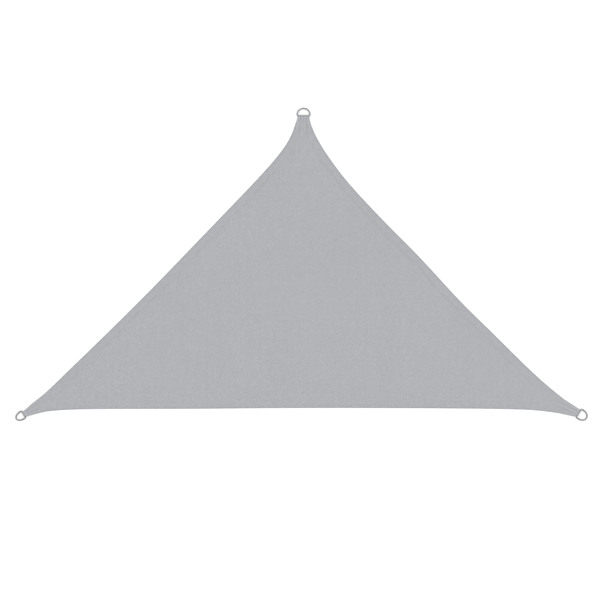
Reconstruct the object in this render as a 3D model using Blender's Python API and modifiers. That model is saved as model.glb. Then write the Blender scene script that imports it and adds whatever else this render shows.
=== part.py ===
"""A three-cornered shade sail of knitted cloth, laid out flat, with a D-ring at each corner.

Metres, +Z up.  The sail lies on the plane z = 0 with its wide corner towards +Y, and the origin
is under the middle of the whole part.  Each ring's bar sits in a loop of webbing whose two
ends lie together under the corner of the cloth.
"""

from collections import namedtuple
import math

import bmesh
import bpy
from mathutils import Vector

NAME = "shade_sail"
MM = 0.001
GAP = 0.3 * MM                # left between pieces that touch

# Cloth, from its underside up.
CLOTH_THICK = 1.6 * MM        # one layer of the knit
HEM_THICK = 3.0 * MM          # the turned hem, two layers and the tape inside it
HEM_WIDE = 40 * MM
HEM_SHARE_AT_CORNER = 0.36    # of the cloth's width, where the two hems of a corner run together
HEM_SQUARE_FROM = 0.03        # share of a side, past which a row crosses the hem squarely
TIP_BACK = 9.5 * MM           # from a ring's bar to the cut end of the cloth
FOLDED_EDGE = 0.35            # height of the hem's outer fold, as a share of the hem

# Webbing loop round a ring's bar.
WEB_THICK = 1.5 * MM
WEB_TAIL = 34 * MM            # from the bar to the ends of the webbing under the cloth
PINCH = math.radians(35)      # where the upper run leaves the bar, above the horizontal
WRAP_STEPS = 22               # points round the bar

# Ring.
WIRE = 7.0 * MM
RING_BEND = 4.6 * MM          # middle of the wire, in the two tight corners beside the bar
BOW_START = 6 * MM            # height over the bar where the corner gives way to the bow
BOW_STEPS = 24
BEND_STEPS = 5

BAR_UP = WEB_THICK + GAP + WIRE / 2
CLOTH_OVER_WEB = 2 * WEB_THICK + GAP

# Corner of the cloth: it climbs over the webbing, and is drawn up into small gathers.
CLIMB_FROM = 38 * MM          # from the bar, where the cloth starts down from the webbing
CLIMB_TO = 105 * MM           # from the bar, where it lies flat again
GATHER_HIGH = 1.6 * MM
GATHER_UNEVEN = 0.25          # how much lower some gathers are than others
GATHER_TURNS = 1.4            # of that unevenness, across the cloth
GATHER_PEAK = 45 * MM         # from the bar, where they stand highest
GATHER_END = 150 * MM         # from the bar, where they have died out

# How finely the cloth is divided.
ROWS = 26                     # from a corner to the middle of its two sides
FIRST_ROW = 0.25              # of an even row's depth, so rows are closest at the corner
HEM_COLUMNS = (0.0, 0.07, 0.36, 0.64, 0.92, 1.0)
FIELD_COLUMNS = 4             # from a hem to the middle of a row

# One row for each corner.  x and y are the middle of the ring's bar, and heading is where the
# ring points.  The next two pairs are the cloth's end and the webbing, measured along the bar
# with the sail's outline running from the first to the second.  Then the ring's outer width
# and depth, the width of its bow where it meets the bar, and the number of gathers.
Corner = namedtuple("Corner", "x y heading tip_from tip_to web_from web_to wide deep bar gathers")
CORNERS = {
    "left": Corner(-1.3897, -0.7497, 212, -13, 18, -11.5, 13, 47, 50.5, 38, 3),
    "right": Corner(1.3842, -0.7442, 327, -25, 17.5, -16, 13, 57, 53, 46, 3),
    "top": Corner(0.0092, 0.7418, 90, -29, 29, -25, 25, 70, 44, 60, 4),
}

# Each side is a hollow curve between two corners: how far it bows in from the straight line,
# in millimetres, at shares of the way along.
Bow = namedtuple("Bow", "share inward")
Side = namedtuple("Side", "start end bows")
FOOT = Side("left", "right", [
    Bow(0, 0), Bow(0.015, 11), Bow(0.04, 25), Bow(0.08, 33), Bow(0.14, 36), Bow(0.30, 37),
    Bow(0.50, 41), Bow(0.70, 41), Bow(0.86, 37), Bow(0.92, 32), Bow(0.96, 20), Bow(0.985, 8),
    Bow(1, 0)])
RIGHT_LEG = Side("right", "top", [
    Bow(0, 0), Bow(0.015, 7), Bow(0.04, 19), Bow(0.08, 32), Bow(0.15, 46), Bow(0.30, 60),
    Bow(0.40, 69), Bow(0.55, 69), Bow(0.70, 78), Bow(0.82, 77), Bow(0.90, 61), Bow(0.95, 41),
    Bow(0.98, 21), Bow(0.992, 11), Bow(1, 0)])
LEFT_LEG = Side("top", "left", [
    Bow(0, 0), Bow(0.015, 13), Bow(0.04, 34), Bow(0.07, 50), Bow(0.12, 59), Bow(0.20, 62),
    Bow(0.30, 59), Bow(0.40, 56), Bow(0.55, 51), Bow(0.70, 40), Bow(0.85, 25), Bow(0.93, 16),
    Bow(0.97, 5), Bow(1, 0)])


def clear_scene():
    for old in list(bpy.data.objects):
        bpy.data.objects.remove(old, do_unlink=True)


def material(name, colour, roughness, metallic=0.0):
    made = bpy.data.materials.new(name)
    made.use_nodes = True
    shader = made.node_tree.nodes["Principled BSDF"]
    shader.inputs["Base Color"].default_value = (*colour, 1.0)
    shader.inputs["Roughness"].default_value = roughness
    shader.inputs["Metallic"].default_value = metallic
    return made


def ease(value, start, end):
    """0 up to start and 1 from end on, with a smooth climb between."""
    share = min(max((value - start) / (end - start), 0.0), 1.0)
    return share * share * (3 - 2 * share)


# --- Outline -------------------------------------------------------------------------------

def corner_axes(corner):
    """Unit vectors out along the ring, and along its bar."""
    angle = math.radians(corner.heading)
    out = Vector((math.cos(angle), math.sin(angle)))
    return out, Vector((-out.y, out.x))


def tip_end(corner, along_bar):
    """A point on the cut end of the cloth, so many millimetres along the bar."""
    out, across = corner_axes(corner)
    return Vector((corner.x, corner.y)) - out * TIP_BACK + across * along_bar * MM


def inward_bow(bows, share):
    """The bow between the table's rows, on a smooth curve through all of them."""
    last = len(bows) - 1
    index = max(i for i in range(last) if bows[i].share <= share)

    def slope(i):
        before, after = bows[max(i - 1, 0)], bows[min(i + 1, last)]
        return (after.inward - before.inward) / (after.share - before.share)

    low, high = bows[index], bows[index + 1]
    span = high.share - low.share
    t = (share - low.share) / span
    level = low.inward + (high.inward - low.inward) * t * t * (3 - 2 * t)
    leave = span * slope(index) * t * (1 - t) ** 2
    arrive = span * slope(index + 1) * t * t * (t - 1)
    return (level + leave + arrive) * MM


def side_point(side, share):
    start = tip_end(CORNERS[side.start], CORNERS[side.start].tip_to)
    end = tip_end(CORNERS[side.end], CORNERS[side.end].tip_from)
    along = (end - start).normalized()
    return start.lerp(end, share) + Vector((-along.y, along.x)) * inward_bow(side.bows, share)


def side_inward(side, share):
    """Unit vector square to the side, into the cloth."""
    step = 0.002
    before = side_point(side, max(share - step, 0.0))
    after = side_point(side, min(share + step, 1.0))
    along = (after - before).normalized()
    return Vector((-along.y, along.x))


# --- Cloth ---------------------------------------------------------------------------------

def cloth_middle():
    """Where the three thirds of the cloth meet."""
    points = [Vector((corner.x, corner.y)) for corner in CORNERS.values()]
    return (points[0] + points[1] + points[2]) / 3


def half_row(side, share, opposite, middle):
    """Points from a side to the middle of a row: across the hem first, then the open cloth."""
    edge = side_point(side, share)
    across = opposite - edge
    from_corner = min(share, 1 - share)
    square = side_inward(side, share)
    into_hem = across.normalized().lerp(square, ease(from_corner, 0.0, HEM_SQUARE_FROM)).normalized()
    hem = into_hem * min(HEM_WIDE, across.length * HEM_SHARE_AT_CORNER)
    points = [edge + hem * part for part in HEM_COLUMNS]
    field = middle - points[-1]
    points += [points[-1] + field * (i / FIELD_COLUMNS) for i in range(1, FIELD_COLUMNS + 1)]
    return points


def cloth_row(arriving, leaving, share):
    """A row of points across one corner, from the side that arrives there to the other."""
    first = side_point(arriving, 1 - share)
    second = side_point(leaving, share)
    middle = ((first + second) / 2).lerp(cloth_middle(), (2 * share) ** 2)
    row = half_row(arriving, 1 - share, second, middle)
    back = half_row(leaving, share, first, middle)
    return row + back[-2::-1]


def cloth_height(corner, point, across_share):
    """How high the underside lies over the webbing and in the gathers."""
    out, _ = corner_axes(corner)
    back = (Vector((corner.x, corner.y)) - point).dot(out)
    climb = CLOTH_OVER_WEB * (1 - ease(back, CLIMB_FROM, CLIMB_TO))
    drawn = ease(back, -GATHER_PEAK, GATHER_PEAK) * (1 - ease(back, GATHER_PEAK, GATHER_END))
    wave = 0.5 - 0.5 * math.cos(2 * math.pi * corner.gathers * across_share)
    turn = 2 * math.pi * GATHER_TURNS * across_share + math.radians(corner.heading)
    lower = 1 - GATHER_UNEVEN * (0.5 + 0.5 * math.sin(turn))
    return climb + GATHER_HIGH * drawn * wave * lower


def cloth_weight(corner, point, column, columns):
    """Thickness as a share of the hem's: less on the fold and in the single cloth."""
    out, _ = corner_axes(corner)
    back = (Vector((corner.x, corner.y)) - point).dot(out)
    from_edge = min(column, columns - 1 - column)
    if from_edge == 0:
        return FOLDED_EDGE
    if from_edge < len(HEM_COLUMNS) - 1:
        return 1.0
    single = CLOTH_THICK / HEM_THICK
    return single + (1 - single) * (1 - ease(back, CLIMB_FROM, CLIMB_TO))


def make_cloth(collection):
    """The whole sail as one sheet: three fans of rows that meet in the middle."""
    mesh = bmesh.new()
    thickness = mesh.verts.layers.deform.new()
    for name, corner in CORNERS.items():
        arriving = next(side for side in (FOOT, RIGHT_LEG, LEFT_LEG) if side.end == name)
        leaving = next(side for side in (FOOT, RIGHT_LEG, LEFT_LEG) if side.start == name)
        previous = None
        for i in range(ROWS + 1):
            part = i / ROWS
            share = 0.5 * (FIRST_ROW * part + (1 - FIRST_ROW) * part * part)
            points = cloth_row(arriving, leaving, share)
            lengths = [0.0]
            for a, b in zip(points, points[1:]):
                lengths.append(lengths[-1] + (b - a).length)
            row = []
            for column, point in enumerate(points):
                height = cloth_height(corner, point, lengths[column] / lengths[-1])
                vert = mesh.verts.new((point.x, point.y, height))
                vert[thickness][0] = cloth_weight(corner, point, column, len(points))
                row.append(vert)
            if previous:
                for a, b, c, d in zip(previous, previous[1:], row[1:], row):
                    mesh.faces.new((a, b, c, d))
            previous = row

    bmesh.ops.remove_doubles(mesh, verts=mesh.verts, dist=0.01 * MM)
    bmesh.ops.recalc_face_normals(mesh, faces=mesh.faces)
    if sum(face.normal.z for face in mesh.faces) < 0:
        bmesh.ops.reverse_faces(mesh, faces=mesh.faces)

    data = bpy.data.meshes.new("sail_cloth")
    mesh.to_mesh(data)
    mesh.free()
    data.shade_smooth()
    cloth = bpy.data.objects.new("sail_cloth", data)
    cloth.vertex_groups.new(name="thickness")
    collection.objects.link(cloth)
    cloth.data.materials.append(material("knitted_cloth", (0.448, 0.454, 0.476), 0.85))

    layers = cloth.modifiers.new("Layers", "SOLIDIFY")
    layers.thickness = HEM_THICK
    layers.offset = 1.0
    layers.vertex_group = "thickness"
    return cloth


# --- Rings and their loops -----------------------------------------------------------------

def flat_curve(name, splines, dimensions):
    curve = bpy.data.curves.new(name, "CURVE")
    curve.dimensions = dimensions
    for points in splines:
        spline = curve.splines.new("POLY")
        spline.points.add(len(points) - 1)
        for target, (x, y) in zip(spline.points, points):
            target.co = (x, y, 0.0, 1.0)
        spline.use_cyclic_u = True
    return curve


def arc(centre, radius, start, end, steps):
    angles = [start + (end - start) * i / steps for i in range(steps + 1)]
    return [(centre[0] + radius * math.cos(a), centre[1] + radius * math.sin(a)) for a in angles]


def web_run(radius, floor):
    """One face of the webbing: round the bar from below, then straight down to its tail."""
    run = arc((0, 0), radius, -math.pi / 2, PINCH - 2 * math.pi, WRAP_STEPS)
    x, y = run[-1]
    return run + [(x + (y - floor) * math.tan(PINCH), floor)]


def make_web(collection, name, corner, parent, finish):
    """Webbing folded round the bar, with its two ends closed together behind it."""
    outer_radius = BAR_UP
    tail_top = 2 * WEB_THICK - BAR_UP
    outside = [(WEB_TAIL, -BAR_UP)] + web_run(outer_radius, tail_top) + [(WEB_TAIL, tail_top)]
    inside = web_run(outer_radius - WEB_THICK, WEB_THICK - BAR_UP)
    curve = flat_curve(name, [outside, inside], "2D")
    curve.fill_mode = "BOTH"
    curve.extrude = (corner.web_to - corner.web_from) / 2 * MM
    web = bpy.data.objects.new(name, curve)
    web.parent = parent
    web.location.y = (corner.web_from + corner.web_to) / 2 * MM
    web.rotation_euler = (math.pi / 2, 0, math.pi)
    curve.materials.append(finish)
    collection.objects.link(web)


def ring_path(corner):
    """Middle of the wire: a straight bar, two tight corners and a bow that swells past them."""
    half = (corner.wide * MM - WIRE) / 2
    deep = corner.deep * MM - WIRE
    swell = math.sqrt(1 - (corner.bar * MM / 2 / half) ** 2)
    tall = deep / (1 + swell)
    centre = swell * tall
    start = math.asin((BOW_START - centre) / tall)
    unit = arc((0, 0), 1, start, math.pi - start, BOW_STEPS)
    bow = [(half * x, centre + tall * y) for x, y in unit]

    lean = math.atan2(-half * math.sin(start), tall * math.cos(start))
    drop = (BOW_START - RING_BEND + RING_BEND * math.sin(lean)) / math.cos(lean)
    bend_middle = bow[0][0] - drop * math.sin(lean) - RING_BEND * math.cos(lean)
    right = arc((bend_middle, RING_BEND), RING_BEND, -math.pi / 2, -lean, BEND_STEPS)
    left = [(-x, y) for x, y in reversed(right)]
    return right + bow + left


def make_ring(collection, name, corner, parent, finish):
    """Round wire bent to a D.  It tips down a little, so its bow rests on the surface."""
    curve = flat_curve(name, [ring_path(corner)], "3D")
    curve.bevel_depth = WIRE / 2
    curve.bevel_resolution = 3
    ring = bpy.data.objects.new(name, curve)
    ring.parent = parent
    tip = math.asin((BAR_UP - WIRE / 2) / (corner.deep * MM - WIRE))
    ring.rotation_euler = (-tip, 0, -math.pi / 2)
    curve.materials.append(finish)
    collection.objects.link(ring)


def make_corner(collection, name, corner, parent, webbing, steel):
    """An empty at the middle of the bar, facing the way the ring points, carries both pieces."""
    place = bpy.data.objects.new("corner_" + name, None)
    place.location = (corner.x, corner.y, BAR_UP)
    place.rotation_euler.z = math.radians(corner.heading)
    place.parent = parent
    collection.objects.link(place)
    make_web(collection, "corner_loop_" + name, corner, place, webbing)
    make_ring(collection, "d_ring_" + name, corner, place, steel)


def centre_on_origin(root, collection):
    """Move the whole part so that its middle, seen from above, is over the origin."""
    bpy.context.view_layer.update()
    graph = bpy.context.evaluated_depsgraph_get()
    points = []
    for obj in collection.objects:
        if obj.type != "EMPTY":
            solid = obj.evaluated_get(graph)
            points += [obj.matrix_world @ vert.co for vert in solid.to_mesh().vertices]
            solid.to_mesh_clear()
    for axis in (0, 1):
        values = [point[axis] for point in points]
        root.location[axis] = -(min(values) + max(values)) / 2


def main():
    clear_scene()
    collection = bpy.data.collections.new(NAME)
    bpy.context.scene.collection.children.link(collection)
    root = bpy.data.objects.new(NAME, None)
    collection.objects.link(root)

    cloth = make_cloth(collection)
    cloth.parent = root
    webbing = material("webbing", (0.40, 0.405, 0.425), 0.8)
    steel = material("steel", (0.45, 0.45, 0.46), 0.32, metallic=1.0)
    for name, corner in CORNERS.items():
        make_corner(collection, name, corner, root, webbing, steel)
    centre_on_origin(root, collection)


if __name__ == "__main__":
    main()
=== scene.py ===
from collections import namedtuple
import math

import bmesh
import bpy
from mathutils import Euler, Matrix, Vector, noise
from mathutils.bvhtree import BVHTree


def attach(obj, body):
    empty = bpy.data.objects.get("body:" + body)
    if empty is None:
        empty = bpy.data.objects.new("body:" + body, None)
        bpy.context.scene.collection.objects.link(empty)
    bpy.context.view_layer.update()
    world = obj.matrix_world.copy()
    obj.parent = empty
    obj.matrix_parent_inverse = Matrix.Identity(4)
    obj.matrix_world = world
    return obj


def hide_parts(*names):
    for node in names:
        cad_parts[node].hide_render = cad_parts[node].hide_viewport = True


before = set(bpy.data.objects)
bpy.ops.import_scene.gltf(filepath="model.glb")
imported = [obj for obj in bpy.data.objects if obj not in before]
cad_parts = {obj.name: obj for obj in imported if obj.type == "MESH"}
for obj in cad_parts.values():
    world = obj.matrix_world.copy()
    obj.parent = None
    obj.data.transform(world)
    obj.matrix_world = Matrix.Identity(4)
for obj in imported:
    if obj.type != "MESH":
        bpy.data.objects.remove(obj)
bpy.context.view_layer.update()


# --- Sail cloth ----------------------------------------------------------------------------
# One panel of pale grey knitted polyethylene, cut with three hollow sides.  Each side and each
# corner's end is folded under and sewn down over a tape, so the rim is two layers thick.  The
# corners are drawn up into small gathers, and climb over the webbing that is sewn under them.

MM = 0.001                    # this script's sizes are in millimetres, and the scene's in metres
CLOTH_THICK = 1.6
HEM_THICK = 3.0
HEM_WIDE = 40.0
HEM_CROWN = 0.25              # how much the tape swells the hem between its rows of sewing
STEP_WIDE = 8.0               # over the turned edge inside the hem, down to the single cloth
HEM_WAVER = 0.22              # share of the hem's width, since it is turned and sewn by hand
HEM_WAVER_PITCH = 170.0
SEAM_ROWS = (17.0, 37.5)      # in from the fold, where the hem is sewn
SEAM_DENT = 0.2
SEAM_DENT_WIDE = 2.0
HEM_SHARE_AT_CORNER = 0.36    # of the cloth's width, where the two hems of a corner run together
HEM_SQUARE_FROM = 0.03        # share of a side, past which a row crosses the hem squarely
SIDES_BACK = 9.5              # from a ring's bar to the line that the sides' bows start from
TIP_BACK = 4.0                # from a ring's bar to the folded end of the cloth
TIP_REACH = 60.0              # of the stretch where a side is drawn on to that end
CLOTH_OVER_WEB = 2.6          # height of the underside, where it lies on both ends of the webbing
LOOP_FROM, LOOP_LEAN = 16.0, 28.0       # back from the bar, the webbing rises to it, so steeply
LOOP_SOFT = 1.6               # rounding of the cloth where it starts to rise with the webbing
LOOP_DROOP = 4.5              # past the webbing's edges, where the cloth hangs down again
LOOP_DROP = 0.85              # share of its rise that the cloth loses there
TIP_THICK = 1.9               # at its folded end, where it is sewn down flat
CLIMB_FROM, CLIMB_TO = 38.0, 105.0      # back from the bar, where the cloth comes down again
THIN_FROM, THIN_TO = 60.0, 300.0        # back from the bar, where the turned edges spread apart
GATHER_HIGH = 2.9
GATHER_UNEVEN = 0.25          # share of its height that a gather may lack
GATHER_TURNS = 1.4            # across a corner, from a lower gather to a higher one and back
GATHER_START, GATHER_PEAK, GATHER_END = 0.0, 40.0, 150.0        # back from the bar
CREASE_HIGH = 1.4             # fine creases between the gathers
CREASES_ACROSS = 11
CREASE_END = 120.0
CREASE_RATE = 0.004           # of the unevenness along a crease, for each millimetre
TROUGH_FULL, TROUGH_END = 50.0, 90.0    # back from the bar, where the troughs get painted shade
PUCKER_HIGH = 0.8             # of the cloth beside the sewing, where the thread draws it in
PUCKER_REACH = 30.0
PUCKER_FROM_FOLD = 12.0       # the fold itself stays straight
PUCKER_SHOW = 0.35            # the larger it is, the more of the hem puckers
RIPPLE_HIGH = 1.6             # of the open cloth off the surface that it lies on
RIPPLE_FROM, RIPPLE_FULL = 30.0, 160.0          # in from the fold
RIPPLE_SHOW = 0.3             # the larger it is, the less of the cloth lies flat

# The puckers, and the ripples, are each a slow wave with a quicker one on it.  A rate is for
# each millimetre: along and across the hem, or along x and y.
PuckerWave = namedtuple("PuckerWave", "share rate_along rate_across")
PUCKER_WAVES = (PuckerWave(1.0, 0.021, 0.006), PuckerWave(0.6, 0.047, 0.012))
RippleWave = namedtuple("RippleWave", "share rate_x rate_y start_x seed")
RIPPLE_WAVES = (RippleWave(1.0, 0.0022, 0.0031, 0.0, 4.0), RippleWave(0.25, 0.0083, 0.0061, 3.0, 9.0))

# One row for each corner: the middle of its ring's bar, the way the ring points, the ends
# along the bar of the cloth's edge and of the webbing, and the number of gathers.
Corner = namedtuple("Corner", "x y heading tip_from tip_to web_from web_to gathers")
CORNERS = {
    "left": Corner(-1388.45, -749.31, 212, -13, 16.5, -11.5, 13, 3),
    "right": Corner(1385.45, -743.81, 327, -23, 18, -16, 13, 3),
    "top": Corner(10.45, 742.19, 90, -28, 27.5, -25, 25, 4),
}

# Each side bows in from the straight line between two corners, at shares of the way along.
# Its seeds, one for each wave of its puckers, make its hem uneven in its own way.
Bow = namedtuple("Bow", "share inward")
Side = namedtuple("Side", "name start end seeds bows")
FOOT = Side("foot", "left", "right", (24.0, 10.5), [
    Bow(0, 0), Bow(0.015, 10.5), Bow(0.04, 24), Bow(0.08, 32), Bow(0.14, 35), Bow(0.30, 36),
    Bow(0.50, 40), Bow(0.70, 39), Bow(0.86, 35), Bow(0.92, 30), Bow(0.96, 18.5), Bow(0.985, 7),
    Bow(1, 0)])
RIGHT_LEG = Side("right_leg", "right", "top", (19.0, 7.0), [
    Bow(0, 0), Bow(0.015, 7), Bow(0.04, 19), Bow(0.08, 32), Bow(0.15, 46), Bow(0.30, 60),
    Bow(0.40, 69), Bow(0.55, 69), Bow(0.70, 78), Bow(0.82, 76.5), Bow(0.90, 60), Bow(0.95, 40),
    Bow(0.98, 20.5), Bow(0.992, 10.5), Bow(1, 0)])
LEFT_LEG = Side("left_leg", "top", "left", (32.0, 12.0), [
    Bow(0, 0), Bow(0.015, 12), Bow(0.04, 32), Bow(0.07, 48), Bow(0.12, 58), Bow(0.20, 60.5),
    Bow(0.30, 58), Bow(0.40, 55), Bow(0.55, 50), Bow(0.70, 39.5), Bow(0.85, 25), Bow(0.93, 16),
    Bow(0.97, 5), Bow(1, 0)])
SIDES = (FOOT, RIGHT_LEG, LEFT_LEG)

# The mesh has rows of points across each corner, from its end to the middle of the sail, and
# in each row columns across both hems and the open field between them.  A hem's columns are
# given in from its fold, and lie closest there and beside the two rows of sewing.
TIP_ROWS = (0, 0.25, 0.7, 1.5, 3.0, 5.0, 7.5, 10.0, 13.0)      # back from the folded end
ROWS = 120                    # the rest, from there to the middle of a side
ROW_SPREAD = 0.6              # 1 spaces them evenly, and less sets them closer near the corner
HEM_COLUMNS = (0, 0.2, 0.7, 1.5, 4, 9, 13.5, 15.8, 17, 18.2, 21, 26, 31, 35.2, 36.4, 37.5, 38.6,
               40, 42, 44, 46, 48, 51)
FIELD_COLUMNS = 20
FIELD_SPREAD = 1.35           # columns lie closer beside the hem than in the middle
WELD = 0.004                  # points of the two sheets that lie nearer than this become one


def ease(value, start, end):
    """0 up to start and 1 from end on, with a smooth climb between."""
    share = min(max((value - start) / (end - start), 0.0), 1.0)
    return share * share * (3 - 2 * share)


def uneven(x, y, z):
    """Smooth noise between about -1 and 1, the same on each run."""
    return noise.noise(Vector((x, y, z)))


def corner_axes(corner):
    """Unit vectors out along the ring, and along its bar."""
    angle = math.radians(corner.heading)
    out = Vector((math.cos(angle), math.sin(angle)))
    return out, Vector((-out.y, out.x))


def tip_end(corner, along_bar):
    out, across = corner_axes(corner)
    return Vector((corner.x, corner.y)) - out * SIDES_BACK + across * along_bar


def back_from_bar(corner, point):
    out, _ = corner_axes(corner)
    return (Vector((corner.x, corner.y)) - point).dot(out)


def inward_bow(bows, share):
    """The bow between the table's rows, on a smooth curve through all of them."""
    last = len(bows) - 1
    index = max(i for i in range(last) if bows[i].share <= share)

    def slope(i):
        before, after = bows[max(i - 1, 0)], bows[min(i + 1, last)]
        return (after.inward - before.inward) / (after.share - before.share)

    low, high = bows[index], bows[index + 1]
    span = high.share - low.share
    t = (share - low.share) / span
    level = low.inward + (high.inward - low.inward) * t * t * (3 - 2 * t)
    leave = span * slope(index) * t * (1 - t) ** 2
    arrive = span * slope(index + 1) * t * t * (t - 1)
    return level + leave + arrive


def side_ends(side):
    start, end = CORNERS[side.start], CORNERS[side.end]
    return tip_end(start, start.tip_to), tip_end(end, end.tip_from)


def side_length(side):
    start, end = side_ends(side)
    return (end - start).length


def side_point(side, share):
    start, end = side_ends(side)
    along = (end - start).normalized()
    point = start.lerp(end, share) + Vector((-along.y, along.x)) * inward_bow(side.bows, share)
    for name, from_corner in ((side.start, share), (side.end, 1 - share)):
        out, _ = corner_axes(CORNERS[name])
        drawn_on = 1 - ease(from_corner * (end - start).length, 0, TIP_REACH)
        point += out * ((SIDES_BACK - TIP_BACK) * drawn_on)
    return point


def side_inward(side, share):
    """Unit vector square to the side, into the cloth."""
    step = 0.002
    before = side_point(side, max(share - step, 0.0))
    after = side_point(side, min(share + step, 1.0))
    along = (after - before).normalized()
    return Vector((-along.y, along.x))


def hem_across(side, share):
    """From the fold to the turned edge, as a vector: the hems of a corner share its width."""
    edge = side_point(side, share)
    from_corner = min(share, 1 - share)
    other = next(s for s in SIDES if (s.end == side.start if share < 0.5 else s.start == side.end))
    facing = from_corner * side_length(side) / side_length(other)
    across = side_point(other, 1 - facing if share < 0.5 else facing) - edge
    square = side_inward(side, share)
    into = across.normalized().lerp(square, ease(from_corner, 0.0, HEM_SQUARE_FROM)).normalized()
    along = side_length(side) * share / HEM_WAVER_PITCH
    waver = 1 + HEM_WAVER * uneven(along, side.seeds[0], 0)
    return into * min(HEM_WIDE * waver, across.length * HEM_SHARE_AT_CORNER)


def cloth_middle():
    points = [Vector((corner.x, corner.y)) for corner in CORNERS.values()]
    return (points[0] + points[1] + points[2]) / 3


def half_row(side, share, middle):
    """Points from a side to the middle of a row, with how far each is in from the fold."""
    edge = side_point(side, share)
    hem = hem_across(side, share)
    row = [(edge + hem * (inset / HEM_WIDE), inset) for inset in HEM_COLUMNS]
    start, inset = row[-1]
    field = middle - start
    for i in range(1, FIELD_COLUMNS + 1):
        part = (i / FIELD_COLUMNS) ** FIELD_SPREAD
        row.append((start + field * part, inset + field.length * part))
    return row


def thickness(inset, back):
    """Two layers and a tape in the hem, then a soft step down to the single cloth."""
    single = HEM_THICK - (HEM_THICK - CLOTH_THICK) * ease(back, THIN_FROM, THIN_TO)
    step = ease(inset, HEM_WIDE, HEM_WIDE + STEP_WIDE)
    crown = HEM_CROWN * math.sin(math.pi * min(inset / HEM_WIDE, 1.0)) ** 2
    dent = sum(math.exp(-((inset - row) / SEAM_DENT_WIDE) ** 2) for row in SEAM_ROWS)
    pressed = (HEM_THICK - TIP_THICK) * (1 - ease(back, TIP_BACK, LOOP_FROM))
    return HEM_THICK + (single - HEM_THICK) * step + crown - SEAM_DENT * dent - pressed


def over_loop(corner, point, back):
    """How far the cloth is lifted by the webbing under it, where that rises to the bar."""
    _, across = corner_axes(corner)
    aside = (point - Vector((corner.x, corner.y))).dot(across)
    past = max(corner.web_from - aside, aside - corner.web_to, 0.0)
    ahead = LOOP_SOFT * math.log1p(math.exp((LOOP_FROM - back) / LOOP_SOFT))
    return ahead * math.tan(math.radians(LOOP_LEAN)) * (1 - LOOP_DROP * ease(past, 0, LOOP_DROOP))


def gather_wave(corner, across_share):
    """0 in the troughs between a corner's gathers, and 1 along their crests."""
    return 0.5 - 0.5 * math.cos(2 * math.pi * corner.gathers * across_share)


def lift(corner, side, share, point, inset, across_share):
    """How high the underside lies: over the webbing, in gathers, puckers and soft ripples."""
    back = back_from_bar(corner, point)
    climb = CLOTH_OVER_WEB * (1 - ease(back, CLIMB_FROM, CLIMB_TO))
    climb += over_loop(corner, point, back)
    drawn = ease(back, GATHER_START, GATHER_PEAK) * (1 - ease(back, GATHER_PEAK, GATHER_END))
    wave = gather_wave(corner, across_share)
    turn = 2 * math.pi * GATHER_TURNS * across_share + math.radians(corner.heading)
    gather = GATHER_HIGH * drawn * wave * (1 - GATHER_UNEVEN * (0.5 + 0.5 * math.sin(turn)))

    fan = uneven(across_share * CREASES_ACROSS, corner.heading, back * CREASE_RATE)
    crease = CREASE_HIGH * ease(back, GATHER_START, GATHER_PEAK) * abs(fan)
    crease *= 1 - ease(back, GATHER_PEAK, CREASE_END)

    along = side_length(side) * share
    beside = math.exp(-((inset - SEAM_ROWS[1]) / PUCKER_REACH) ** 2)
    beside *= ease(inset, 0, PUCKER_FROM_FOLD)
    jerk = sum(wave.share * uneven(along * wave.rate_along, seed, inset * wave.rate_across)
               for wave, seed in zip(PUCKER_WAVES, side.seeds))
    pucker = PUCKER_HIGH * beside * max(0.0, PUCKER_SHOW + jerk)

    open_cloth = ease(inset, RIPPLE_FROM, RIPPLE_FULL)
    roll = sum(wave.share * uneven(point.x * wave.rate_x + wave.start_x,
                                   point.y * wave.rate_y, wave.seed)
               for wave in RIPPLE_WAVES)
    ripple = RIPPLE_HIGH * open_cloth * max(0.0, RIPPLE_SHOW + roll)
    return climb + gather + crease + pucker + ripple


def fold_roll(edge, thick):
    """Share of the full thickness, so near a fold: it rounds over like the end of an ellipse."""
    t = min(edge / (thick / 2), 1.0)
    return math.sqrt(1 - (1 - t) ** 2)


def row_shares(side, other):
    """From the corner where two sides meet to this side's middle: evenly far along both at first."""
    usual = (side_length(side) + side_length(other)) / 2
    first = [back / usual for back in TIP_ROWS]
    rest = [i / ROWS for i in range(1, ROWS + 1)]
    even = first + [first[-1] + (0.5 - first[-1]) * (ROW_SPREAD * r + (1 - ROW_SPREAD) * r * r)
                    for r in rest]
    longer = usual / side_length(side)
    return [share * (longer + (1 - longer) * (2 * share) ** 2) for share in even]


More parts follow.
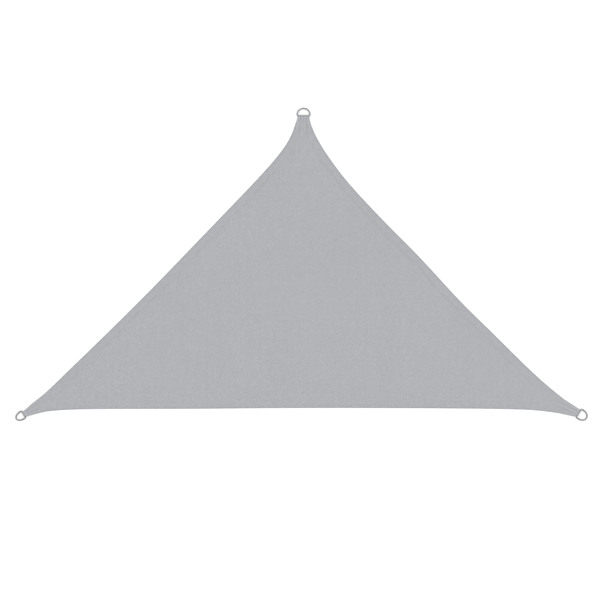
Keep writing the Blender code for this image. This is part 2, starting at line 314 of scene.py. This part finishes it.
def cloth_mesh():
    """Top and underside as two sheets that meet along the fold.

    Each point also holds, for the knit, how far it is from the fold and from the ring's bar,
    and how deep in a trough between two gathers it lies, for the shade painted there.
    """
    mesh = bmesh.new()
    from_fold = mesh.verts.layers.float.new("from_fold")
    from_bar = mesh.verts.layers.float.new("from_bar")
    in_trough = mesh.verts.layers.float.new("in_trough")
    for name, corner in CORNERS.items():
        arriving = next(side for side in SIDES if side.end == name)
        leaving = next(side for side in SIDES if side.start == name)
        previous = None
        for to_end, along in zip(row_shares(arriving, leaving), row_shares(leaving, arriving)):
            first, second = side_point(arriving, 1 - to_end), side_point(leaving, along)
            middle = ((first + second) / 2).lerp(cloth_middle(), (to_end + along) ** 2)
            near = [(arriving, 1 - to_end, *place) for place in half_row(arriving, 1 - to_end, middle)]
            far = [(leaving, along, *place) for place in half_row(leaving, along, middle)]
            places = near + far[-2::-1]
            lengths = [0.0]
            for a, b in zip(places, places[1:]):
                lengths.append(lengths[-1] + (b[2] - a[2]).length)
            top, under = [], []
            for (side, at, point, inset), length in zip(places, lengths):
                back = back_from_bar(corner, point)
                thick = thickness(inset, back)
                low = lift(corner, side, at, point, inset, length / lengths[-1])
                trough = 0.5 - gather_wave(corner, length / lengths[-1])
                roll = fold_roll(min(inset, max(back - TIP_BACK, 0.0)), thick)
                middle_up = low + thick / 2
                for sheet, way in ((top, 1), (under, -1)):
                    up = middle_up + way * roll * thick / 2
                    vert = mesh.verts.new((point.x * MM, point.y * MM, up * MM))
                    vert[from_fold] = inset
                    vert[from_bar] = back
                    vert[in_trough] = trough * (1 - ease(back, TROUGH_FULL, TROUGH_END))
                    sheet.append(vert)
            if previous:
                for a, b, c, d in zip(previous[0], previous[0][1:], top[1:], top):
                    mesh.faces.new((a, b, c, d))
                for a, b, c, d in zip(previous[1], previous[1][1:], under[1:], under):
                    mesh.faces.new((d, c, b, a))
            previous = top, under
    bmesh.ops.remove_doubles(mesh, verts=mesh.verts, dist=WELD * MM)
    bmesh.ops.recalc_face_normals(mesh, faces=mesh.faces)
    return mesh


def add_piece(name, mesh, finish):
    """A smooth-shaded object of this mesh and finish, riding on the sail's one body."""
    data = bpy.data.meshes.new(name)
    mesh.to_mesh(data)
    mesh.free()
    data.shade_smooth()
    data.materials.append(finish)
    piece = bpy.data.objects.new(name, data)
    bpy.context.scene.collection.objects.link(piece)
    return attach(piece, "root")


class Value:
    """A socket in a material that is used like a number: an expression adds its nodes."""

    def __init__(self, tree, socket=None):
        self.tree = tree
        self.socket = socket

    def node(self, kind, settings=None, inputs=None, output=0):
        """Add any node: its settings first, then its sockets' values or links."""
        made = self.tree.nodes.new(kind)
        for name, setting in (settings or {}).items():
            setattr(made, name, setting)
        for name, value in (inputs or {}).items():
            if isinstance(value, Value):
                self.tree.links.new(value.socket, made.inputs[name])
            else:
                made.inputs[name].default_value = value
        return Value(self.tree, made.outputs[output])

    def maths(self, operation, *others):
        inputs = dict(enumerate((self, *others)))
        return self.node("ShaderNodeMath", {"operation": operation}, inputs)

    def __add__(self, other):
        return self.maths("ADD", other)

    def __sub__(self, other):
        return self.maths("SUBTRACT", other)

    def __rsub__(self, other):
        return self.node("ShaderNodeMath", {"operation": "SUBTRACT"}, {0: other, 1: self})

    def __mul__(self, other):
        return self.maths("MULTIPLY", other)

    __radd__ = __add__
    __rmul__ = __mul__

    def __abs__(self):
        return self.maths("ABSOLUTE")

    def climb(self, start, end):
        """0 at start and 1 at end, smooth between; start may be the larger."""
        inputs = {"Value": self, "From Min": start, "From Max": end}
        return self.node("ShaderNodeMapRange", {"interpolation_type": "SMOOTHSTEP"}, inputs)

    def axes(self):
        return [self.node("ShaderNodeSeparateXYZ", inputs={0: self}, output=i) for i in range(3)]

    def stretched(self, x, y, z):
        inputs = {0: self, 1: (x, y, z)}
        return self.node("ShaderNodeVectorMath", {"operation": "MULTIPLY"}, inputs)

    def noise(self, scale, detail=2.0):
        return self.node("ShaderNodeTexNoise", inputs={"Vector": self, "Scale": scale, "Detail": detail})

    def mixed(self, colour, other):
        """From one colour to another as this value goes from 0 to 1."""
        inputs = {0: self, 6: colour, 7: other}
        return self.node("ShaderNodeMix", {"data_type": "RGBA"}, inputs, output=2)


class Finish:
    """A new material, the place on it in metres, and the shader that its values go to."""

    def __init__(self, name):
        self.material = bpy.data.materials.new(name)
        self.material.use_nodes = True
        self.tree = self.material.node_tree
        self.shader = self.tree.nodes["Principled BSDF"]
        self.place = Value(self.tree).node("ShaderNodeTexCoord", output=3)

    def stored(self, name):
        """A number that the mesh holds at its points."""
        return Value(self.tree).node("ShaderNodeAttribute", {"attribute_name": name}, output=2)

    def wear(self, colour=None, **levels):
        """Set or link the shader's sockets, each named with _ for a space."""
        if colour:
            self.tree.links.new(colour.socket, self.shader.inputs["Base Color"])
        for name, level in levels.items():
            socket = self.shader.inputs[name.replace("_", " ")]
            if isinstance(level, Value):
                self.tree.links.new(level.socket, socket)
            else:
                socket.default_value = level

    def raise_by(self, height, distance):
        inputs = {"Height": height, "Distance": distance, "Strength": 1.0}
        bump = Value(self.tree).node("ShaderNodeBump", inputs=inputs)
        self.tree.links.new(bump.socket, self.shader.inputs["Normal"])


# The knit: thin dark chains of thread run along the foot, a little wavy.  Between two of them
# flat tapes stand side by side, leaning one way or the other, with small gaps at their turns.
# Pitches, places and heights are in metres, and a scale is of noise, for each metre.  What is
# inside the knit is in stitches along it and rows down it.
CHAIN_PITCH = 0.0032
STITCH_PITCH = 0.0024
EDGE_ALONG, EDGE_DOWN = 0.7, 0.5        # slant of the knit where it runs down over an edge
SWAY_SCALE, SWAY_ALONG, SWAY_DOWN = 90.0, 0.35, 0.30
SCALLOP_SCALE, SCALLOP_DEEP = 300.0, 0.22
CHAIN_HALF, CHAIN_CORE = 0.09, 0.02     # from the middle of a chain, where it starts and is full
STRANDS = 5.0                 # in each stitch
STRAND_LEAN = 1.1
LEAN_FROM, LEAN_TO = 0.2, 0.3           # within half a stitch, where the lean turns round
STRAND_CHANGE = 1.5           # of a strand's tone, between two chains
ROW_SHIFT, ROW_SEED = 0.37, 7.3         # from one row to the next
GAP_SHAPE = (1.6, 1.0, 0.7)   # finer than the strands across, and longer down
GAP_FROM, GAP_FULL = 0.56, 0.68
GAP_CLEAR, GAP_INSIDE = 0.05, 0.14      # from a chain, which holds the strands together
PATCH_SCALE, PATCH_FROM, PATCH_FULL = 220.0, 0.36, 0.64         # where the knit opens more

# The tone goes from dark, at 0, to light, at 1, and each thing in or on the knit adds its share.
# Distances from the fold, the bar and the sewing are in millimetres, as the mesh holds them.
CLOTH_DARK = (0.205, 0.208, 0.22, 1.0)
CLOTH_LIGHT = (0.597, 0.603, 0.636, 1.0)
KNIT_TONE = 0.494
# where the knit opens it is painted lighter: painted glints on the tapes, and painted light of the pale
# floor seen through
STRAND_TONE, GAP_PAINTED_GLINT_TONE = 1.15, 0.75
CHAIN_TONE, STITCH_TONE = -0.31, -0.28
BROAD_SCALE, BROAD_TONE = 2.2, 0.06     # large soft clouds
STREAK_SHAPE, STREAK_TONE = (60.0, 1.2, 1.0), 0.05              # bands down the cloth
EDGE_WEAR_SHADE_TO, EDGE_WEAR_SHADE_FULL = 10.0, 3.0      # in from the fold, where the edge is darker: worn, and with painted shade over its rounded fold
# the edge's wear and painted shade, and more of both near a corner's end
EDGE_WEAR_SHADE_TONE, TIP_WEAR_SHADE_TONE = -0.14, -0.10
DOUBLED_TO, DOUBLED_FULL = 66.0, 28.0   # back from the bar, where the corner's layers close it
DOUBLED_TONE = 0.05
TROUGH_PAINTED_SHADE = -0.11           # painted shade between two gathers
SEAM_HOLES_SHADE_TO, SEAM_HOLES_SHADE_FULL = 4.0, 1.0     # from the inner row of sewing, darker there: the needle holes open the knit, and painted shade lies in the seam's dent
SEAM_SHADE_LOW, SEAM_SHADE_HIGH = -0.62, -0.15        # up the sail, where the seam's painted shade is full: along the foot it hardly shows
SEAM_HOLES_SHADE_SCALE, SEAM_HOLES_SHADE_FAINT, SEAM_HOLES_SHADE_CLEAR = 9.0, 0.3, 0.6     # where the row comes and goes
SEAM_HOLES_SHADE_TONE = -0.10

CLOTH_ROUGH, STRAND_ROUGH, CHAIN_ROUGH = 0.58, 0.2, 0.1
CLOTH_SHINE = 0.3
KNIT_RELIEF = 0.00025         # for a height of 1
STRAND_HIGH, GAP_HIGH, CHAIN_HIGH, STITCH_HIGH = 0.5, -0.3, 0.35, 0.4


def knit_finish():
    finish = Finish("knitted_cloth")
    x, y, z = finish.place.axes()
    x, y = x + z * EDGE_ALONG, y + z * EDGE_DOWN
    sway = finish.place.noise(SWAY_SCALE) - 0.5
    along = x * (1 / STITCH_PITCH) + sway * SWAY_ALONG
    scallop = (along.maths("PINGPONG", 0.5) - 0.25) * (finish.place.noise(SCALLOP_SCALE) * SCALLOP_DEEP)
    down = y * (1 / CHAIN_PITCH) + sway * SWAY_DOWN + scallop
    row = down.maths("FLOOR")
    between = down.maths("FRACT")
    from_chain = 0.5 - abs(between - 0.5)
    chain = from_chain.climb(CHAIN_HALF, CHAIN_CORE)
    stitch = (along * 2.0).maths("PINGPONG", 0.5) * 2.0

    turn = (along + row * ROW_SHIFT).maths("PINGPONG", 0.5)
    lean = between * (turn.climb(LEAN_FROM, LEAN_TO) - 0.5) * STRAND_LEAN
    across = along * STRANDS + lean
    strand_at = Value(finish.tree).node(
        "ShaderNodeCombineXYZ", inputs={0: across, 1: row * ROW_SEED, 2: between * STRAND_CHANGE})
    strand = strand_at.noise(1.0, detail=1.0)
    patch = finish.place.noise(PATCH_SCALE, detail=1.0).climb(PATCH_FROM, PATCH_FULL)
    gap = strand_at.stretched(*GAP_SHAPE).noise(1.0, detail=0.0).climb(GAP_FROM, GAP_FULL)
    gap = gap * patch * from_chain.climb(GAP_CLEAR, GAP_INSIDE)

    broad = finish.place.noise(BROAD_SCALE, detail=3.0) - 0.5
    streak = finish.place.stretched(*STREAK_SHAPE).noise(1.0) - 0.5
    from_fold = finish.stored("from_fold")
    # wear and painted shade along the fold
    edge_wear_and_shade = from_fold.climb(EDGE_WEAR_SHADE_TO, EDGE_WEAR_SHADE_FULL)
    doubled = finish.stored("from_bar").climb(DOUBLED_TO, DOUBLED_FULL)
    # the inner seam row darkened: needle holes, and painted shade kept off the foot
    seam_holes_and_shade = abs(from_fold - SEAM_ROWS[1]).climb(SEAM_HOLES_SHADE_TO, SEAM_HOLES_SHADE_FULL)
    seam_holes_and_shade = seam_holes_and_shade * y.climb(SEAM_SHADE_LOW, SEAM_SHADE_HIGH)
    seam_holes_and_shade = seam_holes_and_shade * finish.place.noise(SEAM_HOLES_SHADE_SCALE).climb(SEAM_HOLES_SHADE_FAINT, SEAM_HOLES_SHADE_CLEAR)

    # the gaps add painted glints and painted floor light
    level = KNIT_TONE + (strand - 0.5) * STRAND_TONE + gap * GAP_PAINTED_GLINT_TONE
    level = level + chain * (CHAIN_TONE + stitch * STITCH_TONE)
    level = level + broad * BROAD_TONE + streak * STREAK_TONE + doubled * DOUBLED_TONE
    level = level + edge_wear_and_shade * (EDGE_WEAR_SHADE_TONE + doubled * TIP_WEAR_SHADE_TONE) + seam_holes_and_shade * SEAM_HOLES_SHADE_TONE
    # painted shade in the troughs between the gathers
    level = level + finish.stored("in_trough") * TROUGH_PAINTED_SHADE
    colour = level.maths("MAXIMUM", 0.0).mixed(CLOTH_DARK, CLOTH_LIGHT)
    rough = CLOTH_ROUGH + strand * STRAND_ROUGH + chain * CHAIN_ROUGH
    finish.wear(colour, Roughness=rough, Specular_IOR_Level=CLOTH_SHINE)
    high = strand * STRAND_HIGH + gap * GAP_HIGH + chain * (CHAIN_HIGH + stitch * STITCH_HIGH)
    finish.raise_by(high, KNIT_RELIEF)
    return finish.material


sail = add_piece("sail", cloth_mesh(), knit_finish())
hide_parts("sail_cloth")
shape = BVHTree.FromObject(sail, bpy.context.evaluated_depsgraph_get())


# --- Hem sewing ----------------------------------------------------------------------------
# Two rows of lockstitch in grey thread run round each side, one through the tape inside the
# hem and one beside its turned edge.  Each stitch lies in the dent that it draws in the cloth.

THREAD_WIDE = 0.9
STITCH_EVERY = 5.0
STITCH_GAP = 0.08             # share of a stitch at each end, where the thread goes down
THREAD_SIDES = 5
SEAM_START = 0.004            # share of a side at each end, left to the corner's sewing
THREAD_DARK = (0.37, 0.375, 0.395, 1.0)
THREAD_LIGHT = (0.52, 0.526, 0.552, 1.0)
TWIST_STRETCH, TWIST_SCALE = (1.0, 1.0, 2.0), 900.0
TWIST_TONE, TWIST_RELIEF = 0.5, 0.0001
DYE_SCALE, DYE_TONE = 6.0, 0.3          # lighter and darker lengths of the thread
THREAD_ROUGH, TWIST_ROUGH = 0.5, 0.2

# Along a stitch, as a share of its length: how much of the thread's full width it has, and how
# high its middle is over the cloth, in half widths.
Station = namedtuple("Station", "part wide up")
STATIONS = (Station(0.0, 0.45, -0.55), Station(0.28, 1.0, 0.25), Station(0.72, 1.0, 0.25),
            Station(1.0, 0.45, -0.55))


def cloth_top(x, y):
    """Height of the cloth's upper face at a point, looking straight down from well above it."""
    hit = shape.ray_cast(Vector((x, y, 100.0)) * MM, Vector((0, 0, -1)))[0]
    return hit.z / MM


def skin(mesh, loops, closed=False):
    """Faces from each loop of points to the next, round to the first again or capped."""
    rings = [[mesh.verts.new(point * MM) for point in loop] for loop in loops]
    pairs = zip(rings, rings[1:] + rings[:1] if closed else rings[1:])
    for near, far in pairs:
        for i in range(len(near)):
            j = (i + 1) % len(near)
            mesh.faces.new((near[i], near[j], far[j], far[i]))
    if not closed:
        mesh.faces.new(rings[0][::-1])
        mesh.faces.new(rings[-1])
    return rings


def round_section(middle, aside, wide, sides):
    """Points round a thread or wire that lies flat, with aside as the unit vector across it."""
    turns = [2 * math.pi * i / sides for i in range(sides)]
    return [middle + (aside * math.cos(turn) + Vector((0, 0, math.sin(turn)))) * (wide / 2)
            for turn in turns]


def add_stitch(mesh, start, end):
    """One stitch of thread from start to end, its two ends dipping into the cloth."""
    along = (end - start).normalized()
    aside = Vector((-along.y, along.x, 0.0))
    loops = []
    for station in STATIONS:
        place = start.lerp(end, station.part)
        up = cloth_top(place.x, place.y) + station.up * THREAD_WIDE / 2
        loops.append(round_section(Vector((place.x, place.y, up)), aside, station.wide * THREAD_WIDE,
                                   THREAD_SIDES))
    skin(mesh, loops)


def sew(mesh, start, end, every):
    """A straight row of stitches, evenly spaced."""
    count = max(round((end - start).length / every), 1)
    for i in range(count):
        add_stitch(mesh, start.lerp(end, (i + STITCH_GAP) / count),
                   start.lerp(end, (i + 1 - STITCH_GAP) / count))


def seam_route(side, inset):
    """The line of a row of stitches along one side, stitch by stitch."""
    start, end = side_ends(side)
    count = int((end - start).length / STITCH_EVERY)
    shares = [SEAM_START + (1 - 2 * SEAM_START) * i / count for i in range(count + 1)]
    return [side_point(side, s) + hem_across(side, s) * (inset / HEM_WIDE) for s in shares]


def thread_finish():
    finish = Finish("sewing_thread")
    twist = finish.place.stretched(*TWIST_STRETCH).noise(TWIST_SCALE)
    level = (finish.place.noise(DYE_SCALE) - 0.5) * DYE_TONE + twist * TWIST_TONE
    rough = THREAD_ROUGH + twist * TWIST_ROUGH
    finish.wear(level.mixed(THREAD_DARK, THREAD_LIGHT), Roughness=rough)
    finish.raise_by(twist, TWIST_RELIEF)
    return finish.material


thread = thread_finish()
hem_sewing = []
for side in SIDES:
    mesh = bmesh.new()
    for inset in SEAM_ROWS:
        route = seam_route(side, inset)
        for a, b in zip(route, route[1:]):
            sew(mesh, a, b, STITCH_EVERY)
    hem_sewing.append(add_piece("hem_sewing_" + side.name, mesh, thread))


# --- D-rings -------------------------------------------------------------------------------
# A ring of round steel wire at each corner, bent with a straight bar and a full bow and welded
# shut.  It hangs on its webbing and tips down, so that the bow rests on the surface.

WIRE = 7.0
RING_BEND = 4.6               # middle of the wire, in the two tight corners beside the bar
BOW_START = 6.0               # height over the bar where the corner gives way to the bow
BAR_UP = 5.3                  # height of the bar's middle off the surface
BOW_STEPS, BEND_STEPS, WIRE_SIDES = 64, 10, 28
STEEL_DARK = (0.22, 0.22, 0.225, 1.0)
STEEL_LIGHT = (0.34, 0.34, 0.349, 1.0)
GRAIN_STRETCH, GRAIN_SCALE, GRAIN_RELIEF = (1.0, 1.0, 4.0), 700.0, 0.00004
CLOUD_SCALE = 60.0            # of brighter and duller steel
STEEL_ROUGH, CLOUD_ROUGH, GRAIN_ROUGH = 0.26, 0.16, 0.1

# Outer width and depth of each ring, and its bar between the two tight corners.
Ring = namedtuple("Ring", "wide deep bar")
RINGS = {"left": Ring(47, 50.5, 38), "right": Ring(57, 53, 46), "top": Ring(70, 44, 60)}


def arc(centre, radius, start, end, steps):
    angles = [start + (end - start) * i / steps for i in range(steps + 1)]
    return [(centre[0] + radius * math.cos(a), centre[1] + radius * math.sin(a)) for a in angles]


def ring_path(ring):
    """Middle of the wire: a straight bar, two tight corners and a bow that swells past them."""
    half = (ring.wide - WIRE) / 2
    deep = ring.deep - WIRE
    swell = math.sqrt(1 - (ring.bar / 2 / half) ** 2)
    tall = deep / (1 + swell)
    centre = swell * tall
    start = math.asin((BOW_START - centre) / tall)
    unit = arc((0, 0), 1, start, math.pi - start, BOW_STEPS)
    bow = [(half * x, centre + tall * y) for x, y in unit]
    lean = math.atan2(-half * math.sin(start), tall * math.cos(start))
    drop = (BOW_START - RING_BEND + RING_BEND * math.sin(lean)) / math.cos(lean)
    bend_middle = bow[0][0] - drop * math.sin(lean) - RING_BEND * math.cos(lean)
    right = arc((bend_middle, RING_BEND), RING_BEND, -math.pi / 2, -lean, BEND_STEPS)
    left = [(-x, y) for x, y in reversed(right)]
    return right + bow + left


def corner_frame(corner):
    """From a corner's own axes, out along the ring, along the bar and up, to the sail's."""
    return (Matrix.Translation((corner.x, corner.y, BAR_UP))
            @ Matrix.Rotation(math.radians(corner.heading), 4, "Z"))


def steel_finish():
    finish = Finish("brushed_steel")
    grain = finish.place.stretched(*GRAIN_STRETCH).noise(GRAIN_SCALE, detail=4.0)
    cloud = finish.place.noise(CLOUD_SCALE, detail=3.0)
    rough = STEEL_ROUGH + cloud * CLOUD_ROUGH + grain * GRAIN_ROUGH
    finish.wear(cloud.mixed(STEEL_DARK, STEEL_LIGHT), Metallic=1.0, Roughness=rough)
    finish.raise_by(grain, GRAIN_RELIEF)
    return finish.material


steel = steel_finish()
for name, corner in CORNERS.items():
    ring = RINGS[name]
    tip = math.asin((BAR_UP - WIRE / 2) / (ring.deep - WIRE))
    stand = corner_frame(corner) @ Euler((-tip, 0, -math.pi / 2)).to_matrix().to_4x4()
    path = [Vector((x, y, 0)) for x, y in ring_path(ring)]
    loops = []
    for before, point, after in zip(path[-1:] + path, path, path[1:] + path[:1]):
        along = (after - before).normalized()
        section = round_section(point, Vector((along.y, -along.x, 0)), WIRE, WIRE_SIDES)
        loops.append([stand @ place for place in section])
    mesh = bmesh.new()
    skin(mesh, loops, closed=True)
    bmesh.ops.recalc_face_normals(mesh, faces=mesh.faces)
    piece = add_piece("ring_" + name, mesh, steel)
    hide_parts("d_ring_" + name)


# --- Webbing loops -------------------------------------------------------------------------
# A strip of grey polyester webbing is folded round the bar of each ring.  Its two ends lie
# together under the corner of the cloth, where the sewing holds them.

WEB_THICK = 1.1
WEB_TAIL = 34.0               # from the bar to the cut ends
WEB_EDGE = 0.7                # rounding of its two woven edges
WEB_EDGE_LEAST = 0.02         # keeps its two faces just apart there
WEB_GAP = 0.15                # between the webbing and the wire that it is folded round
PINCH = math.radians(90 - LOOP_LEAN)    # where the upper run leaves the bar
WEB_BEND = 2.5                # middle of the webbing, where it turns flat into its tail
WRAP_STEPS, WEB_BEND_STEPS, TAIL_STEPS, WEB_COLUMNS = 32, 8, 12, 24
WEB_CROWD = 0.35              # share of the crowding of its columns towards its two edges
YARN_LONG, RIB_WIDE = 1.9, 1.5          # each yarn comes up in turn along a rib of the weave
YARN_FULL, RIB_FULL = 0.8, 0.7          # up its rounded side, where it is at its full height
WEB_DARK = (0.285, 0.289, 0.304, 1.0)
WEB_LIGHT = (0.485, 0.491, 0.516, 1.0)
WEB_TONE, YARN_TONE, RIB_TONE = 0.25, 0.25, 0.25
FIBRE_SCALE, FIBRE_TONE, FIBRE_HIGH = 500.0, 0.6, 0.2
WEB_ROUGH, FIBRE_ROUGH = 0.6, 0.25
WEAVE_RELIEF = 0.0003


def web_path():
    """Middle of the webbing from the side: how far back from the bar, and how far above it."""
    radius = WIRE / 2 + WEB_GAP + WEB_THICK / 2
    round_bar = arc((0, 0), radius, -math.pi / 2, PINCH - 2 * math.pi, WRAP_STEPS)
    low, high = WEB_THICK / 2 - BAR_UP, 1.5 * WEB_THICK - BAR_UP
    x, y = round_bar[-1]
    turn = WEB_BEND * math.tan((math.pi / 2 - PINCH) / 2)
    bend_middle = (x + (y - high) * math.tan(PINCH) + turn, high + WEB_BEND)
    bend = arc(bend_middle, WEB_BEND, math.pi + PINCH, 1.5 * math.pi, WEB_BEND_STEPS)
    under = [(WEB_TAIL * (1 - i / TAIL_STEPS), low) for i in range(TAIL_STEPS)]
    start = bend[-1][0]
    over = [(start + (WEB_TAIL - start) * (i + 1) / TAIL_STEPS, high) for i in range(TAIL_STEPS)]
    return under + round_bar + bend + over


def web_mesh(corner):
    """The webbing, with where each point is along and across it, for the weave."""
    mesh = bmesh.new()
    along_web = mesh.verts.layers.float.new("along_web")
    across_web = mesh.verts.layers.float.new("across_web")
    half, middle = (corner.web_to - corner.web_from) / 2, (corner.web_from + corner.web_to) / 2
    crowded = [-math.cos(math.pi * i / WEB_COLUMNS) for i in range(WEB_COLUMNS + 1)]
    columns = [half * (WEB_CROWD * close + (1 - WEB_CROWD) * (2 * i / WEB_COLUMNS - 1))
               for i, close in enumerate(crowded)]
    stand = corner_frame(corner)
    path = [Vector((-x, 0, z)) for x, z in web_path()]
    loops, lengths = [], [0.0]
    for before, point, after in zip(path[:1] + path, path, path[1:] + path[-1:]):
        lengths.append(lengths[-1] + (point - before).length)
        along = (after - before).normalized()
        up = Vector((-along.z, 0, along.x))
        top, under = [], []
        for across in columns:
            past = max(abs(across) - (half - WEB_EDGE), 0.0) / WEB_EDGE
            rise = WEB_THICK / 2 * math.sqrt(max(1 - past * past, WEB_EDGE_LEAST))
            place = point + Vector((0, middle + across, 0))
            top.append(stand @ (place + up * rise))
            under.append(stand @ (place - up * rise))
        loops.append(top + under[::-1])
    for ring, length in zip(skin(mesh, loops), lengths[1:]):
        for across, top, under in zip(columns, ring, ring[::-1]):
            for vert in (top, under):
                vert[along_web] = length
                vert[across_web] = across
    bmesh.ops.recalc_face_normals(mesh, faces=mesh.faces)
    return mesh


def web_finish():
    finish = Finish("webbing")
    along = finish.stored("along_web") * (1 / YARN_LONG)
    across = finish.stored("across_web") * (1 / RIB_WIDE)
    shifted = along + across.maths("FLOOR") * 0.5
    yarn = shifted.maths("PINGPONG", 0.5) * 2.0
    rib = across.maths("PINGPONG", 0.5) * 2.0
    fibre = finish.place.noise(FIBRE_SCALE)
    level = WEB_TONE + yarn * YARN_TONE + rib * RIB_TONE + (fibre - 0.5) * FIBRE_TONE
    finish.wear(level.mixed(WEB_DARK, WEB_LIGHT), Roughness=WEB_ROUGH + fibre * FIBRE_ROUGH)
    weave = yarn.climb(0.0, YARN_FULL) * rib.climb(0.0, RIB_FULL)
    finish.raise_by(weave + fibre * FIBRE_HIGH, WEAVE_RELIEF)
    return finish.material


webbing = web_finish()
for name, corner in CORNERS.items():
    piece = add_piece("webbing_" + name, web_mesh(corner), webbing)
    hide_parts("corner_loop_" + name)


# --- Corner sewing -------------------------------------------------------------------------
# A box with a cross in it, and a second row across the cloth's end, sewn in the same thread
# through the cloth and both ends of the webbing.

BOX_FROM, BOX_TO = 19.5, 31.5           # back from the bar
BOX_IN = 3.0                            # in from the edges of the webbing
END_ROW, END_ROW_OVER = 17.0, 1.0       # back from the bar, and wider than the box by this
CORNER_STITCH = 3.4

corner_sewing = []
for name, corner in CORNERS.items():
    out, across = corner_axes(corner)
    bar = Vector((corner.x, corner.y))
    low, high = corner.web_from + BOX_IN, corner.web_to - BOX_IN
    box = [bar - out * back + across * aside
           for back, aside in ((BOX_FROM, low), (BOX_FROM, high), (BOX_TO, high), (BOX_TO, low))]
    rows = list(zip(box, box[1:] + box[:1])) + [(box[0], box[2]), (box[1], box[3])]
    rows.append(tuple(bar - out * END_ROW + across * aside
                      for aside in (low - END_ROW_OVER, high + END_ROW_OVER)))
    mesh = bmesh.new()
    for start, end in rows:
        sew(mesh, start, end, CORNER_STITCH)
    corner_sewing.append(add_piece("corner_sewing_" + name, mesh, thread))


# --- Floor, light and camera ---------------------------------------------------------------
# A plain pale studio floor that glows a little, like a light table.  A soft high sun and a
# white surround, a little dimmer overhead, light the sail; the camera looks straight down.

FLOOR_RADIUS, FLOOR_SIDES = 60.0, 64    # in metres, far past all that the camera sees
FLOOR_PALE = (0.93, 0.93, 0.93, 1.0)
FLOOR_ROUGH = 0.9
FLOOR_GLOW = 0.10
WHITE = (1.0, 1.0, 1.0, 1.0)
WALL = (1.05, 1.05, 1.05, 1.0)
CEILING = (0.79, 0.79, 0.79, 1.0)
WALL_TO, CEILING_FROM = 0.03, 0.3       # how steeply up: 0 is level, and 1 straight overhead
SUN_POWER, SUN_WIDE = 1.0, 40           # in watts a square metre, and degrees across
SUN_TILT = (-17, 3)           # degrees from overhead, about x and about y

floor_mesh = bmesh.new()
bmesh.ops.create_circle(floor_mesh, cap_ends=True, segments=FLOOR_SIDES, radius=FLOOR_RADIUS)
floor_data = bpy.data.meshes.new("floor")
floor_mesh.to_mesh(floor_data)
floor_mesh.free()
floor = bpy.data.objects.new("floor", floor_data)
bpy.context.scene.collection.objects.link(floor)
floor_finish = Finish("studio_floor")
floor_finish.wear(Base_Color=FLOOR_PALE, Roughness=FLOOR_ROUGH,
                  Emission_Color=WHITE, Emission_Strength=FLOOR_GLOW)
floor_data.materials.append(floor_finish.material)

world = bpy.data.worlds.new("surround")
world.use_nodes = True
up = Value(world.node_tree).node("ShaderNodeTexCoord").axes()[2]
wall = up.climb(CEILING_FROM, WALL_TO).mixed(CEILING, WALL)
world.node_tree.links.new(wall.socket, world.node_tree.nodes["Background"].inputs["Color"])
bpy.context.scene.world = world

sun_light = bpy.data.lights.new("soft_sun", "SUN")
sun_light.energy = SUN_POWER
sun_light.angle = math.radians(SUN_WIDE)
sun = bpy.data.objects.new("soft_sun", sun_light)
sun.rotation_euler = (math.radians(SUN_TILT[0]), math.radians(SUN_TILT[1]), 0)
bpy.context.scene.collection.objects.link(sun)

FRAME_WIDE = 3.0              # in metres of floor, so 5 mm for each of the picture's 600 pixels
FRAME_MIDDLE = (-0.0075, -0.1784)       # in metres
LENS, SENSOR = 100.0, 36.0    # in millimetres
camera_data = bpy.data.cameras.new("camera")
camera_data.lens = LENS
camera_data.sensor_width = SENSOR
camera = bpy.data.objects.new("camera", camera_data)
camera.location = (*FRAME_MIDDLE, FRAME_WIDE * LENS / SENSOR)
bpy.context.scene.collection.objects.link(camera)
bpy.context.scene.camera = camera
bpy.context.scene.view_settings.view_transform = "Standard"

hem_sewing + corner_sewing
